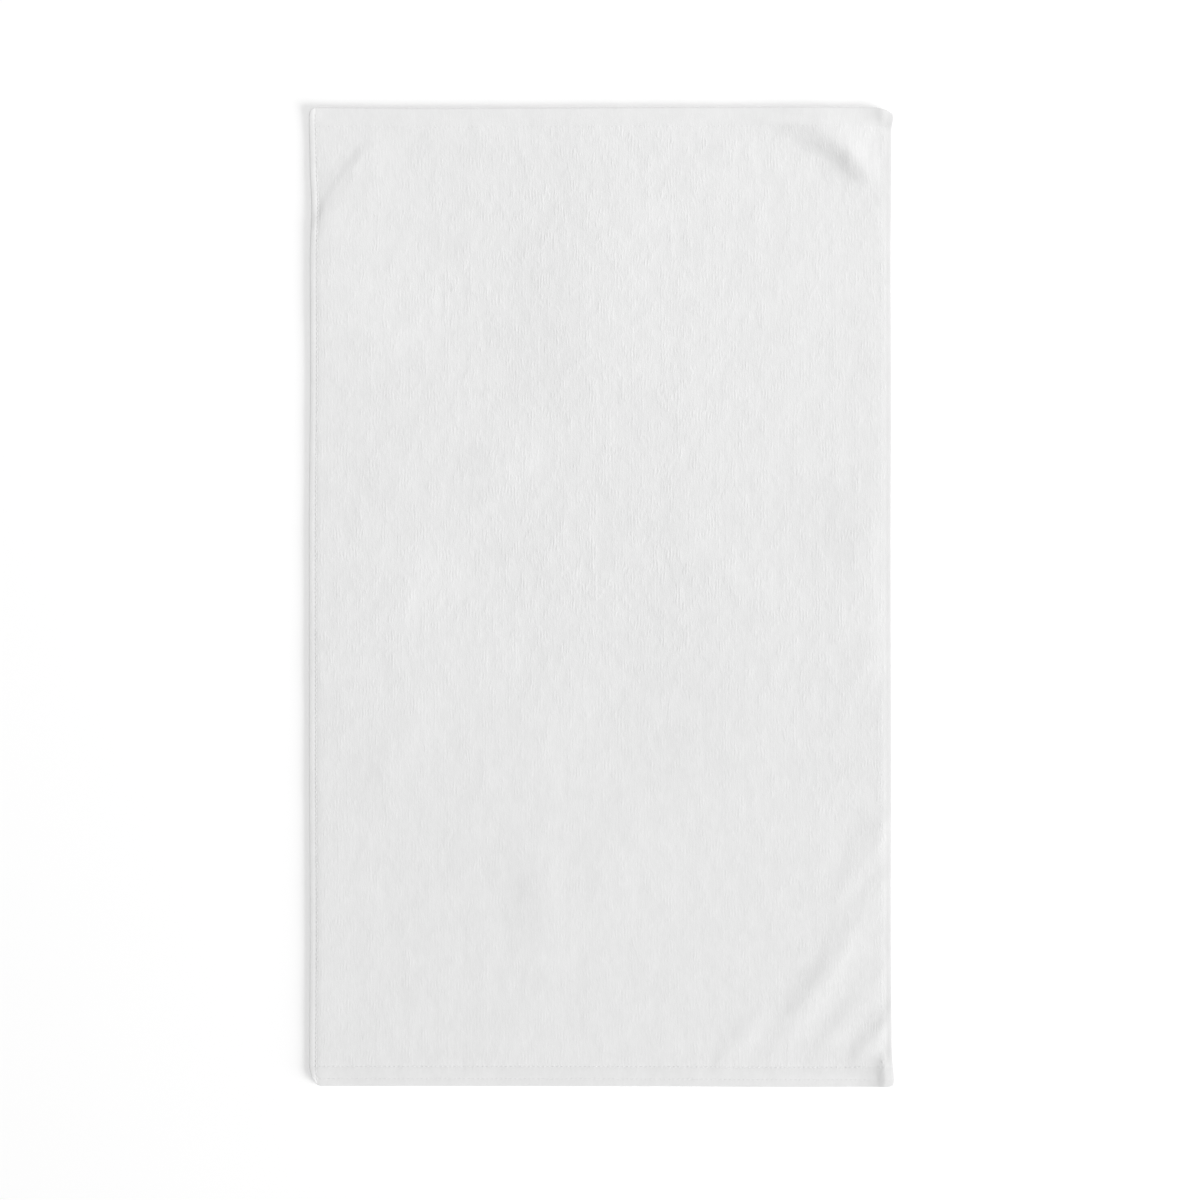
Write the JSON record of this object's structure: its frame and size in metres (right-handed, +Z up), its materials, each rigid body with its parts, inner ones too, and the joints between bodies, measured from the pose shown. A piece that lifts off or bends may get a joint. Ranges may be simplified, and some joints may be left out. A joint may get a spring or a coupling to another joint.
{
  "type": "hand towel",
  "caption": "Rectangular white terry hand towel lying flat, with turned and sewn hems on all sides and a few soft ridges at its corners.",
  "frame": {"origin": "on the surface that the towel lies on, under its middle", "axes": "+X across the width, +Y along the length towards the end shown at the top of the picture, +Z up out of the towel's face"},
  "size_m": [0.4174, 0.6985, 0.0061],
  "materials": {
    "terry": "white sheared velour terry, matt, with fine uneven lengthwise ribs"
  },
  "bodies": {
    "root": {"towel_cloth": "terry"}
  },
  "joints": []
}
